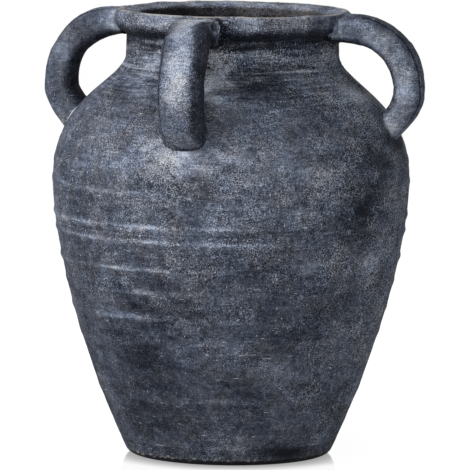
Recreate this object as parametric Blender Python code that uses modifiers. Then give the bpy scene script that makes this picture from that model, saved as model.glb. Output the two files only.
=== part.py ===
"""Four-handled terracotta vase, as the sections a potter throws, rolls and pulls, joined with slip.

Metres, +Z up. The origin is the middle of the resting face. The handles stand at +X, +Y, -X and -Y.
"""

import math

import bmesh
import bpy
from mathutils import Vector
from mathutils.geometry import interpolate_bezier

# Heights of the jar, one above the other
BELLY_HEIGHT = 0.194            # resting face to the widest point
SHOULDER_RISE = 0.0855          # widest point to the upright neck
NECK_RISE = 0.0115              # upright part of the neck
RIM_RISE = 0.019                # rolled rim with its flared underside

# Radii of the jar
FOOT_RADIUS = 0.065             # flat resting face
BELLY_RADIUS = 0.1241
NECK_RADIUS = 0.0742
RIM_OVERHANG = 0.0073           # rim past the neck

# Clay thickness
WALL = 0.0095
FLOOR = 0.012
FLOOR_FILLET = 0.010            # rounded corner inside, between floor and wall

# Shape of the outline
HEEL_ROUND = 0.0075
FOOT_FLARE = math.radians(24.6)  # lean of the wall just above the heel
FLARE_FULLNESS = 0.59           # pulls of the outline's curves, as shares of each curve's rise
BELLY_FULLNESS = 0.105
SHOULDER_FULLNESS = 0.66
NECK_FULLNESS = 0.21
UNDERCUT_ROUND = 0.004          # hollow round under the rim
UNDERCUT_TURN = math.radians(75)
LIP_ROUND = 0.0035
MOUTH_ROUND = 0.003

# Throwing rings, as depths below the widest point
RING_DROPS = (0.001, 0.024, 0.0335, 0.054, 0.0715, 0.088)
RING_RELIEF = 0.0006
RING_HALF_WIDTH = 0.003

# Joints between the sections
BELLY_JOINT_DROP = 0.029        # below the widest point
NECK_JOINT_DROP = 0.0085        # below the upright neck
SLIP = 0.0012                   # layer of slip in each joint
GAP = 0.0003                    # clearance on each side of the slip
SEAM_RECESS = 0.0006            # slip wiped back from both faces of the wall

# Strap handles
HANDLES = ("right", "back", "left", "front")
GRIP_WIDTH = 0.028
GRIP_THICKNESS = 0.0208
UPPER_ROOT_WIDTH = 0.0285
UPPER_ROOT_THICKNESS = 0.0212
LOWER_ROOT_WIDTH = 0.0270
LOWER_ROOT_THICKNESS = 0.0195
HANDLE_OVERHANG = 0.0010        # middle of the strap past the belly, at its furthest
HANDLE_REACH_RISE = 0.060       # height of that furthest point above the belly
HANDLE_FOOT_RISE = 0.038        # where the strap lands on the shoulder, above the belly
HANDLE_FOOT_LEAN = math.radians(46)
HANDLE_TOP_RISE = 0.001         # top of the strap above the lip
ROOT_DEPTH = 0.014              # length of strap that the wall trims off at each end
ROOT_FULLNESS = 0.78            # pulls of the strap's path, as shares of each curve's reach and rise
SHOULDER_PULL = 0.66
GRIP_PULL = 0.53
FOOT_PULL = 0.29
ROOT_SHARE = 0.42               # share of the strap over which the upper root turns into the grip
FOOT_SHARE = 0.30               # share over which the grip turns into the lower root
SQUARENESS = 3.0                # exponent of the strap's section: 2 is an ellipse
PAD_LIP = 0.0006                # slip squeezed out around a handle's end

# Facets
TURN_STEPS = 48
HEEL_PIECES = 4
LOWER_PIECES = 9
SHOULDER_PIECES = 10
ROUND_PIECES = 3
STRAP_PIECES = 9
SECTION_POINTS = 16
NEAR = 0.0012                   # outline points closer than this to a cut are left out
MERGE = 0.00001
SMOOTH_ANGLE = math.radians(40)
CUTTER_MARGIN = 0.012           # how far a cutter runs past what it cuts

# Sizes that follow
NECK_FOOT = BELLY_HEIGHT + SHOULDER_RISE
RIM_JOINT = NECK_FOOT + NECK_RISE
HEIGHT = RIM_JOINT + RIM_RISE
BELLY_JOINT = BELLY_HEIGHT - BELLY_JOINT_DROP
NECK_JOINT = NECK_FOOT - NECK_JOINT_DROP
JOINT = GAP + SLIP + GAP
RIM_RADIUS = NECK_RADIUS + RIM_OVERHANG
MOUTH_RADIUS = NECK_RADIUS - WALL

# Linear colour and roughness of the washed clay, by the first word of a piece's name
CLAYS = {
    "base": ((0.055, 0.060, 0.074), 0.90),
    "lower": ((0.078, 0.088, 0.108), 0.85),
    "upper": ((0.078, 0.088, 0.108), 0.85),
    "neck": ((0.078, 0.088, 0.108), 0.85),
    "rim": ((0.105, 0.115, 0.135), 0.82),
    "handle": ((0.105, 0.115, 0.135), 0.82),
    "slip": ((0.190, 0.200, 0.215), 0.95),
}


def clear_scene():
    for thing in list(bpy.data.objects):
        bpy.data.objects.remove(thing)


def new_collection(name):
    collection = bpy.data.collections.new(name)
    bpy.context.scene.collection.children.link(collection)
    return collection


def clay(name, colour, roughness):
    """Matt fired clay of one colour."""
    material = bpy.data.materials.new(name)
    material.use_nodes = True
    shader = material.node_tree.nodes["Principled BSDF"]
    shader.inputs["Base Color"].default_value = (*colour, 1.0)
    shader.inputs["Roughness"].default_value = roughness
    shader.inputs["Metallic"].default_value = 0.0
    return material


def arc(center, radius, start, end, pieces):
    """Points of a circular arc in the (radius, height) plane, angles measured from outwards."""
    turn = (end - start) / pieces
    angles = [start + turn * i for i in range(pieces + 1)]
    return [(center[0] + radius * math.cos(a), center[1] + radius * math.sin(a)) for a in angles]


def curve(start, start_pull, end_pull, end, pieces):
    """Points of a cubic curve in the (radius, height) plane."""
    knots = [Vector((r, 0.0, z)) for r, z in (start, start_pull, end_pull, end)]
    return [(p.x, p.z) for p in interpolate_bezier(*knots, pieces + 1)]


def body_outline():
    """Outer outline from the resting face to the top of the upright neck."""
    heel = arc((FOOT_RADIUS, HEEL_ROUND), HEEL_ROUND, -math.pi / 2, -FOOT_FLARE, HEEL_PIECES)
    foot_r, foot_z = heel[-1]
    rise = BELLY_HEIGHT - foot_z
    flare_pull = FLARE_FULLNESS * rise
    lower = curve(
        (foot_r, foot_z),
        (foot_r + flare_pull * math.sin(FOOT_FLARE), foot_z + flare_pull * math.cos(FOOT_FLARE)),
        (BELLY_RADIUS, BELLY_HEIGHT - BELLY_FULLNESS * rise),
        (BELLY_RADIUS, BELLY_HEIGHT),
        LOWER_PIECES,
    )
    shoulder = curve(
        (BELLY_RADIUS, BELLY_HEIGHT),
        (BELLY_RADIUS, BELLY_HEIGHT + SHOULDER_FULLNESS * SHOULDER_RISE),
        (NECK_RADIUS, NECK_FOOT - NECK_FULLNESS * SHOULDER_RISE),
        (NECK_RADIUS, NECK_FOOT),
        SHOULDER_PIECES,
    )
    return heel + lower[1:] + shoulder[1:] + [(NECK_RADIUS, RIM_JOINT)]


def undercut_outline():
    """Outer outline under the rim: a hollow round off the neck, then the rolled edge."""
    roll_round = RIM_OVERHANG / (1.0 - math.cos(UNDERCUT_TURN)) - UNDERCUT_ROUND
    hollow_center = (NECK_RADIUS + UNDERCUT_ROUND, RIM_JOINT)
    hollow = arc(hollow_center, UNDERCUT_ROUND, math.pi, math.pi - UNDERCUT_TURN, ROUND_PIECES)
    roll_z = hollow[-1][1] + roll_round * math.sin(UNDERCUT_TURN)
    roll = arc((RIM_RADIUS - roll_round, roll_z), roll_round, -UNDERCUT_TURN, 0.0, ROUND_PIECES)
    return hollow + roll[1:]


def lip_outline():
    """Outer outline from the rim's upright side over the rounded lip."""
    return arc((RIM_RADIUS - LIP_ROUND, HEIGHT - LIP_ROUND), LIP_ROUND, 0.0, math.pi / 2, ROUND_PIECES)


def radius_at(outline, height):
    """Radius of an outline at a height, on the straight run between its two points there."""
    for (low_r, low_z), (high_r, high_z) in zip(outline, outline[1:]):
        if height <= high_z:
            share = (height - low_z) / (high_z - low_z)
            return low_r + share * (high_r - low_r)
    return outline[-1][0]


def offset(outline, distance):
    """The outline moved along its outward normals."""
    moved = []
    for i, (r, z) in enumerate(outline):
        before = Vector(outline[max(i - 1, 0)])
        after = Vector(outline[min(i + 1, len(outline) - 1)])
        along = (after - before).normalized()
        moved.append((r + along.y * distance, z - along.x * distance))
    return moved


def ringed(outline):
    """The outline with a low ridge at each throwing ring."""
    heights = [BELLY_HEIGHT - drop for drop in RING_DROPS]
    points = [p for p in outline if all(abs(p[1] - h) > RING_HALF_WIDTH + NEAR for h in heights)]
    for h in heights:
        for step, relief in ((-RING_HALF_WIDTH, 0.0), (0.0, RING_RELIEF), (RING_HALF_WIDTH, 0.0)):
            points.append((radius_at(outline, h + step) + relief, h + step))
    return sorted(points, key=lambda p: p[1])


def between(outline, low, high):
    """The stretch of an outline between two heights, cut level at both ends."""
    inside = [p for p in outline if low + NEAR < p[1] < high - NEAR]
    return [(radius_at(outline, low), low), *inside, (radius_at(outline, high), high)]


def turned(name, profile, collection, closed=True):
    """A profile turned about the vertical axis. It runs down its outer side."""
    edges = [(i, i + 1) for i in range(len(profile) - 1)]
    if closed:
        edges.append((len(profile) - 1, 0))
    mesh = bpy.data.meshes.new(name)
    mesh.from_pydata([(r, 0.0, z) for r, z in profile], edges, [])
    piece = bpy.data.objects.new(name, mesh)
    collection.objects.link(piece)
    screw = piece.modifiers.new("turn", "SCREW")
    screw.steps = TURN_STEPS
    screw.render_steps = TURN_STEPS
    screw.use_merge_vertices = True
    screw.merge_threshold = MERGE
    screw.use_smooth_shade = True
    return piece


def base(outline, collection):
    """Solid slab with the rounded heel and the flat resting face."""
    side = [p for p in outline if p[1] < FLOOR - NEAR] + [(radius_at(outline, FLOOR), FLOOR)]
    return turned("base", [(0.0, FLOOR), *side[::-1], (0.0, 0.0)], collection, closed=False)


def section(name, outer, inner, low, high, collection):
    """Ring of wall between two heights."""
    profile = between(outer, low, high)[::-1] + between(inner, low, high)
    return turned(name, profile, collection)


def with_floor_fillet(inner, low):
    """The inner outline with its foot brought in by a quarter round that meets the floor."""
    quarter = arc((0.0, low + FLOOR_FILLET), FLOOR_FILLET, -math.pi / 2, 0.0, ROUND_PIECES)
    foot = [(radius_at(inner, z) + r - FLOOR_FILLET, z) for r, z in quarter]
    return foot + [p for p in inner if p[1] > low + FLOOR_FILLET + NEAR]


def rim_band(outline, collection):
    """Rolled rim that overhangs the neck, with a flat lip and a rounded mouth."""
    low = RIM_JOINT + JOINT
    mouth_center = (MOUTH_RADIUS + MOUTH_ROUND, HEIGHT - MOUTH_ROUND)
    mouth = arc(mouth_center, MOUTH_ROUND, math.pi, math.pi / 2, ROUND_PIECES)
    profile = between(outline, low, HEIGHT)[::-1] + [(MOUTH_RADIUS, low), *mouth]
    return turned("rim_band", profile, collection)


def slip_seam(name, outer, inner, joint, collection):
    """Thin ring of slip between two sections, wiped back from both faces."""
    low = joint + GAP
    high = low + SLIP
    profile = [
        (radius_at(outer, high) - SEAM_RECESS, high),
        (radius_at(outer, low) - SEAM_RECESS, low),
        (radius_at(inner, low) + SEAM_RECESS, low),
        (radius_at(inner, high) + SEAM_RECESS, high),
    ]
    return turned(name, profile, collection)


def handle_seat(body):
    """Outline that the handle ends land on: shoulder, neck and rim, carried straight up past the lip."""
    shoulder = [p for p in body if p[1] > BELLY_HEIGHT - NEAR]
    below = (BELLY_RADIUS, BELLY_HEIGHT - CUTTER_MARGIN)
    above = (RIM_RADIUS, HEIGHT + CUTTER_MARGIN)
    return [below, *shoulder, *undercut_outline()[1:], above]


def envelope(name, seat, distance, collection):
    """Cutter that fills the jar out to a distance from its outside."""
    side = offset(seat, distance)
    cutter = turned(name, [(0.0, side[-1][1]), *side[::-1], (0.0, side[0][1])], collection, closed=False)
    cutter.hide_render = True
    cutter.display_type = "WIRE"
    return cutter


def strap_path(body):
    """Middle line of a handle in the (radius, height) plane, from inside the rim to inside the shoulder."""
    reach = BELLY_RADIUS + HANDLE_OVERHANG
    reach_z = BELLY_HEIGHT + HANDLE_REACH_RISE
    root = (RIM_RADIUS - ROOT_DEPTH, HEIGHT + HANDLE_TOP_RISE - UPPER_ROOT_THICKNESS / 2)
    over = curve(
        root,
        (root[0] + ROOT_FULLNESS * (reach - root[0]), root[1]),
        (reach, reach_z + SHOULDER_PULL * (root[1] - reach_z)),
        (reach, reach_z),
        STRAP_PIECES,
    )
    landing_z = BELLY_HEIGHT + HANDLE_FOOT_RISE
    lean = Vector((math.cos(HANDLE_FOOT_LEAN), math.sin(HANDLE_FOOT_LEAN)))
    foot = Vector((radius_at(body, landing_z), landing_z)) - ROOT_DEPTH * lean
    span = (Vector((reach, reach_z)) - foot).length
    down = curve(
        (reach, reach_z),
        (reach, reach_z - GRIP_PULL * (reach_z - landing_z)),
        foot + FOOT_PULL * span * lean,
        foot,
        STRAP_PIECES,
    )
    return over + down[1:]


def ease(start, end, share):
    """Smooth passage from one size to another."""
    share = min(max(share, 0.0), 1.0)
    return start + (end - start) * share * share * (3.0 - 2.0 * share)


def strap_stations(path):
    """Place, outward normal, width and thickness of the strap at each point of its path."""
    points = [Vector(p) for p in path]
    runs = [(b - a).length for a, b in zip(points, points[1:])]
    stations = []
    for i, place in enumerate(points):
        along = (points[min(i + 1, len(points) - 1)] - points[max(i - 1, 0)]).normalized()
        outward = Vector((-along.y, along.x))
        share = sum(runs[:i]) / sum(runs)
        width = ease(UPPER_ROOT_WIDTH, GRIP_WIDTH, share / ROOT_SHARE)
        thickness = ease(UPPER_ROOT_THICKNESS, GRIP_THICKNESS, share / ROOT_SHARE)
        foot_share = (share - 1.0 + FOOT_SHARE) / FOOT_SHARE
        width = ease(width, LOWER_ROOT_WIDTH, foot_share)
        thickness = ease(thickness, LOWER_ROOT_THICKNESS, foot_share)
        stations.append((place, outward, width, thickness))
    return stations


def rounded(share, half):
    """One coordinate of a superellipse, from the cosine or sine of the turn."""
    return math.copysign(half * abs(share) ** (2.0 / SQUARENESS), share)


def strap(name, stations, lip):
    """Loft of rounded strap sections along their stations, closed at both ends."""
    shape = bmesh.new()
    turns = [2.0 * math.pi * i / SECTION_POINTS for i in range(SECTION_POINTS)]
    rings = []
    for place, outward, width, thickness in stations:
        ring = []
        for turn in turns:
            side = rounded(math.cos(turn), width / 2 + lip)
            rise = rounded(math.sin(turn), thickness / 2 + lip)
            spot = place + outward * rise
            ring.append(shape.verts.new((spot.x, side, spot.y)))
        rings.append(ring)
    for first, second in zip(rings, rings[1:]):
        for i in range(SECTION_POINTS):
            shape.faces.new((first[i - 1], first[i], second[i], second[i - 1]))
    shape.faces.new(rings[0])
    shape.faces.new(rings[-1])
    bmesh.ops.recalc_face_normals(shape, faces=shape.faces)
    mesh = bpy.data.meshes.new(name)
    shape.to_mesh(mesh)
    shape.free()
    mesh.shade_smooth()
    mesh.set_sharp_from_angle(angle=SMOOTH_ANGLE)
    return mesh


def cut(piece, cutter, operation):
    boolean = piece.modifiers.new(operation.lower(), "BOOLEAN")
    boolean.operation = operation
    boolean.object = cutter
    boolean.solver = "EXACT"


def handles(body, parts, cutters):
    """Four strap handles trimmed to the jar, each on a pad of slip at the rim and one at the shoulder."""
    seat = handle_seat(body)
    handle_cutter = envelope("handle_cutter", seat, JOINT, cutters)
    pad_outside = envelope("pad_outside", seat, GAP + SLIP, cutters)
    pad_inside = envelope("pad_inside", seat, GAP, cutters)
    stations = strap_stations(strap_path(body))
    strap_mesh = strap("strap", stations, 0.0)
    pad_meshes = {
        "slip_upper": strap("upper_pad", stations[:STRAP_PIECES], PAD_LIP),
        "slip_lower": strap("lower_pad", stations[STRAP_PIECES:], PAD_LIP),
    }
    made = []
    for i, where in enumerate(HANDLES):
        turn = i * 2.0 * math.pi / len(HANDLES)
        handle = bpy.data.objects.new(f"handle_{where}", strap_mesh)
        cut(handle, handle_cutter, "DIFFERENCE")
        pads = []
        for kind, mesh in pad_meshes.items():
            pad = bpy.data.objects.new(f"{kind}_{where}", mesh)
            cut(pad, pad_outside, "INTERSECT")
            cut(pad, pad_inside, "DIFFERENCE")
            pads.append(pad)
        for piece in (handle, *pads):
            piece.rotation_euler.z = turn
            parts.objects.link(piece)
            made.append(piece)
    return made


def sections(body, parts):
    """The turned pieces, from the base slab up to the rim, and the slip between them."""
    outer = ringed(body + undercut_outline()[1:] + lip_outline())
    inner = offset(body[HEEL_PIECES:], -WALL)
    foot_inner = with_floor_fillet(inner, FLOOR + JOINT)
    foot_edge = [(foot_inner[0][0], 0.0), foot_inner[0]]
    return [
        base(body, parts),
        section("lower_body", outer, foot_inner, FLOOR + JOINT, BELLY_JOINT, parts),
        section("upper_body", outer, inner, BELLY_JOINT + JOINT, NECK_JOINT, parts),
        section("neck", outer, inner, NECK_JOINT + JOINT, RIM_JOINT, parts),
        rim_band(outer, parts),
        slip_seam("slip_seam_foot", outer, foot_edge, FLOOR, parts),
        slip_seam("slip_seam_belly", outer, inner, BELLY_JOINT, parts),
        slip_seam("slip_seam_neck", outer, inner, NECK_JOINT, parts),
        slip_seam("slip_seam_rim", outer, inner, RIM_JOINT, parts),
    ]


def paint(pieces):
    """One matt clay for each kind of piece."""
    finishes = {kind: clay(f"{kind}_clay", *look) for kind, look in CLAYS.items()}
    for piece in pieces:
        if not piece.data.materials:
            piece.data.materials.append(finishes[piece.name.split("_")[0]])


def main():
    clear_scene()
    parts = new_collection("four_handled_vase")
    cutters = new_collection("cutters")
    vase = bpy.data.objects.new("vase", None)
    parts.objects.link(vase)
    body = body_outline()
    pieces = sections(body, parts) + handles(body, parts, cutters)
    paint(pieces)
    for piece in pieces:
        piece.parent = vase


main()
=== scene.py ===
import math

import bpy
import numpy as np
from mathutils import Matrix, Vector


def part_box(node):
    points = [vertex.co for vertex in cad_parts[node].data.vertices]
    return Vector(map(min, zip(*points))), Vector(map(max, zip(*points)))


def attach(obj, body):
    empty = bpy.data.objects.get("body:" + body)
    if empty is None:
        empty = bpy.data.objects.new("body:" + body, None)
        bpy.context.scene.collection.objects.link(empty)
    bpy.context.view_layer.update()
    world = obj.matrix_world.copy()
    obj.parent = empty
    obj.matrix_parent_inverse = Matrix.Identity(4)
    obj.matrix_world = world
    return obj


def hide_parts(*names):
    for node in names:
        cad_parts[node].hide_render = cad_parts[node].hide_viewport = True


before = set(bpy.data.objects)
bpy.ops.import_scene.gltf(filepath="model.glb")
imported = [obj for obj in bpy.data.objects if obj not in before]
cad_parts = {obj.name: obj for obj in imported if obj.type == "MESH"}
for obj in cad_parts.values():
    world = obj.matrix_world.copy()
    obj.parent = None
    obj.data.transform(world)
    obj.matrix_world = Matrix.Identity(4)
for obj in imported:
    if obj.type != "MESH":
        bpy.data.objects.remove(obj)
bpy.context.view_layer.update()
print("frame loaded with", len(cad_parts), "clay nodes")

# camera

viewpoint = dict(
    turn=15.5,  # degrees to the right of the front handle
    rise=6.2935,  # degrees above level
    distance=4.0555,
    aim=(0.0, 0.0, 0.155),
    lens=446.0,
    roll=0.58,
    shift=(0.00886, -0.00822),
)


def linked(name, data):
    # a new object for the data, put into the scene
    made = bpy.data.objects.new(name, data)
    bpy.context.scene.collection.objects.link(made)
    return made


def standCamera(v):
    # back = (sin turn cos rise, -cos turn cos rise, sin rise); the camera is at aim + distance * back, rolled
    turn, rise, roll = (math.radians(v[k]) for k in ("turn", "rise", "roll"))
    back = Vector((math.sin(turn) * math.cos(rise), -math.cos(turn) * math.cos(rise), math.sin(rise)))
    right = Vector((math.cos(turn), math.sin(turn), 0.0))
    up = back.cross(right)
    leanRight = right * math.cos(roll) + up * math.sin(roll)
    leanUp = up * math.cos(roll) - right * math.sin(roll)
    lens = bpy.data.cameras.new("studioCamera")
    lens.lens = v["lens"]
    lens.shift_x, lens.shift_y = v["shift"]
    camera = linked("studioCamera", lens)
    turned = Matrix((leanRight, leanUp, back)).transposed().to_4x4()
    camera.matrix_world = Matrix.Translation(Vector(v["aim"]) + back * v["distance"]) @ turned
    bpy.context.scene.camera = camera


standCamera(viewpoint)
bpy.context.scene.view_settings.view_transform = "Standard"
print("camera standing")

# tools for working clay


def unitNoise(points, cell, seed):
    # random heights -1 to 1 on a lattice, blended from eight corners by 6t^5 - 15t^4 + 10t^3
    place = points / np.asarray(cell)
    corner = np.floor(place).astype(np.int64)
    part = place - corner
    part = part * part * part * (part * (part * 6.0 - 15.0) + 10.0)
    total = np.zeros(points.shape[:-1])
    for step in np.ndindex(2, 2, 2):
        spot = corner + np.array(step)
        mixed = spot[..., 0] * 73856093 ^ spot[..., 1] * 19349663 ^ spot[..., 2] * 83492791 ^ seed * 961748927
        mixed = (mixed ^ (mixed >> 15)) * 2246822519 & 0xFFFFFFFF
        mixed = (mixed ^ (mixed >> 13)) * 3266489917 & 0xFFFFFFFF
        height = ((mixed ^ (mixed >> 16)) & 0xFFFF) / 32767.5 - 1.0
        total += height * np.prod(np.where(np.array(step) == 1, part, 1.0 - part), axis=-1)
    return total


def layeredNoise(points, cell, seed, layers):
    # noise of halving cell and halving height, added up
    cell = np.asarray(cell, dtype=float)
    return sum(unitNoise(points, cell / 2.0**k, seed + 17 * k) / 2.0**k for k in range(layers))


def smooth(low, high, value):
    # 0 below low, 1 above high, 3t^2 - 2t^3 between
    t = np.clip((value - low) / (high - low), 0.0, 1.0)
    return t * t * (3.0 - 2.0 * t)


def cubic(a, b, c, d, steps):
    # cubic curve: (1-t)^3 a + 3(1-t)^2 t b + 3(1-t) t^2 c + t^3 d
    t = np.linspace(0.0, 1.0, steps)[:, None]
    a, b, c, d = (np.asarray(p, dtype=float) for p in (a, b, c, d))
    return (1 - t) ** 3 * a + 3 * (1 - t) ** 2 * t * b + 3 * (1 - t) * t**2 * c + t**3 * d


def roundTo(center, radius, start, end, steps):
    # circle part: center + radius (cos a, sin a), a in degrees from start to end
    a = np.radians(np.linspace(start, end, steps))
    return np.stack((center[0] + radius * np.cos(a), center[1] + radius * np.sin(a)), axis=1)


def evenly(path, count):
    # the same path with its points at equal distances along it
    runs = np.concatenate(([0.0], np.cumsum(np.linalg.norm(np.diff(path, axis=0), axis=1))))
    at = np.linspace(0.0, runs[-1], count)
    return np.stack([np.interp(at, runs, path[:, k]) for k in range(path.shape[1])], axis=1)


def unit(ways):
    # each vector divided by its length
    return ways / np.linalg.norm(ways, axis=-1)[..., None]


def headings(line):
    # direction of a line at each of its points, from the points on either side
    return unit(np.gradient(line, axis=0))


def oneTurn(steps):
    # even angles round one turn, as a row
    return np.linspace(0.0, 2.0 * np.pi, steps, endpoint=False)[None, :]


def degreesApart(angles, middle):
    # degrees from the middle to each angle, the short way round, -180 to 180
    return (np.degrees(angles) - middle + 180.0) % 360.0 - 180.0


def bell(away, half):
    # e to the power of -(away / half)^2
    return np.exp(-((away / half) ** 2))


def turnedGrid(radius, height, angles):
    # point (r cos a, r sin a, z) for every row of the profile and every angle
    return np.stack((radius * np.cos(angles), radius * np.sin(angles), height), axis=-1)


def wrapFaces(rows, turns, closeRows):
    # quads of a grid that closes round its turns, and round its rows too if asked
    index = np.arange(rows * turns).reshape(rows, turns)
    first = index if closeRows else index[:-1]
    second = np.roll(index, -1, axis=0) if closeRows else index[1:]
    quads = (first, np.roll(first, -1, axis=1), np.roll(second, -1, axis=1), second)
    return np.stack(quads, axis=-1).reshape(-1, 4)


def capFaces(ring, pole, flip):
    # triangles from a ring of points to one pole
    ahead = np.roll(ring, -1)
    middle = np.full_like(ring, pole)
    order = (ahead, ring, middle) if flip else (ring, ahead, middle)
    return np.stack(order, axis=-1)


def cappedFaces(rows, turns, flip):
    # quads of an open grid, then triangles from its end rows to two poles that follow its points
    count = rows * turns
    quads = wrapFaces(rows, turns, False)
    quads = quads[:, ::-1] if flip else quads
    first = capFaces(np.arange(turns), count, not flip)
    last = capFaces(np.arange(count - turns, count), count + 1, flip)
    return quads.tolist() + first.tolist() + last.tolist()


sharpFrom = 50.0  # degrees between faces whose edge stays sharp


def clayPiece(name, points, faces, tones, finish, node):
    # a mesh of the arrays with its tones as attributes, standing in for its node
    mesh = bpy.data.meshes.new(name)
    mesh.from_pydata(points.reshape(-1, 3).tolist(), [], faces)
    tones.setdefault("grit", np.ones(len(mesh.vertices)))
    for tone, values in tones.items():
        kept = mesh.attributes.new(tone, "FLOAT", "POINT")
        kept.data.foreach_set("value", np.ravel(values).astype(np.float32))
    mesh.materials.append(finish)
    mesh.shade_smooth()
    mesh.set_sharp_from_angle(angle=math.radians(sharpFrom))
    piece = linked(name, mesh)
    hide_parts(node)
    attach(piece, "root")


def closedRing(name, node, finish, outer, inner, tones):
    # rows of the outside, then of the inside, closed into a ring; the inside is plain and hollow
    plain = np.zeros(inner.shape[:2])
    tones = {tone: np.concatenate((values, plain)) for tone, values in tones.items()}
    tones["hollow"] = np.concatenate((np.zeros(outer.shape[:2]), plain + 1.0))
    points = np.concatenate((outer, inner))
    clayPiece(name, points, wrapFaces(*points.shape[:2], True).tolist(), tones, finish, node)


def handMarks(points, cell, seeds, m):
    # slow lumps + fine tooth - pits, and the pits again for the wash
    lumps, tooth = layeredNoise(points, cell, seeds[0], 3), layeredNoise(points, 0.0048, seeds[1], 2)
    pits = smooth(0.5, 0.8, unitNoise(points, 0.005, seeds[2]))
    return m["lump"] * lumps + m["tooth"] * tooth - m["pit"] * pits, pits


# outline of the jar, drawn in from the solids by the height of the relief

jar = dict(
    bellyHeight=0.194, shoulderRise=0.0855, neckRise=0.0115, height=0.31, footRadius=0.0653,
    bellyRadius=0.1236, neckRadius=0.0738, rimOverhang=0.0077, wall=0.0095, heelRound=0.0075,
    floorFillet=0.01,
    neckSpare=0.004,  # neck that goes on up inside the rim
    footFlare=24.6, flareFullness=0.59, bellyFullness=0.105, shoulderFullness=0.645, neckFullness=0.235,
)


def jarOutline(j):
    # heel round, a cubic from the flared foot to the upright belly, a cubic over the shoulder, a straight neck
    flare = math.radians(j["footFlare"])
    heel = roundTo((j["footRadius"], j["heelRound"]), j["heelRound"], -90.0, -j["footFlare"], 16)
    foot = heel[-1]
    rise = j["bellyHeight"] - foot[1]
    out = np.array((math.sin(flare), math.cos(flare)))
    belly = np.array((j["bellyRadius"], j["bellyHeight"]))
    flared, upright = foot + j["flareFullness"] * rise * out, belly - (0, j["bellyFullness"] * rise)
    lower = cubic(foot, flared, upright, belly, 160)
    neckFoot = np.array((j["neckRadius"], j["bellyHeight"] + j["shoulderRise"]))
    upper = cubic(
        belly,
        belly + (0, j["shoulderFullness"] * j["shoulderRise"]),
        neckFoot - (0, j["neckFullness"] * j["shoulderRise"]),
        neckFoot,
        160,
    )
    neckTop = neckFoot + (0, j["neckRise"] + j["neckSpare"])
    return heel, np.concatenate((lower, upper[1:], [neckTop]))


heelLine, wallLine = jarOutline(jar)


def sunkLine(line, depth):
    # the line moved inwards along its normals
    along = headings(line)
    return line + depth * np.stack((-along[:, 1], along[:, 0]), axis=1)


insideLine = sunkLine(wallLine, jar["wall"])
rimRadius = jar["neckRadius"] + jar["rimOverhang"]


def outerRadius(z):
    # radius of the outside at a height, straight between the points of the outline
    return np.interp(z, wallLine[:, 1], wallLine[:, 0])


def innerRadius(z):
    # the same for the inside
    return np.interp(z, insideLine[:, 1], insideLine[:, 0])


# thrown wall

throwing = dict(
    # height, crest, half width, pale wash with painted highlight, middle of the pale part (the lit side) in
    # degrees, its spread
    rings=(
        (0.208, 0.0005, 0.003, 0.08, -124, 26),
        (0.192, 0.0005, 0.0028, 0.24, -128, 28),
        (0.1688, 0.00085, 0.0026, 0.46, -116, 40),
        (0.1584, 0.00085, 0.0024, 0.44, -115, 34),
        (0.1388, 0.00085, 0.0026, 0.42, -111, 38),
        (0.1225, 0.0006, 0.003, 0.14, -102, 14),
        (0.1045, 0.00065, 0.003, 0.22, -106, 28),
        (0.2705, 0.0001, 0.0014, 0.36, -54, 9),
        (0.087, 0.00045, 0.0034, 0.1, -70, 40),
        (0.047, 0.00035, 0.0034, 0.1, -80, 30),
    ),
    waver=0.0011, outOfRound=0.0004, lump=0.00035, drag=0.00007, tooth=0.0001, pit=0.0003,
)
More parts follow.
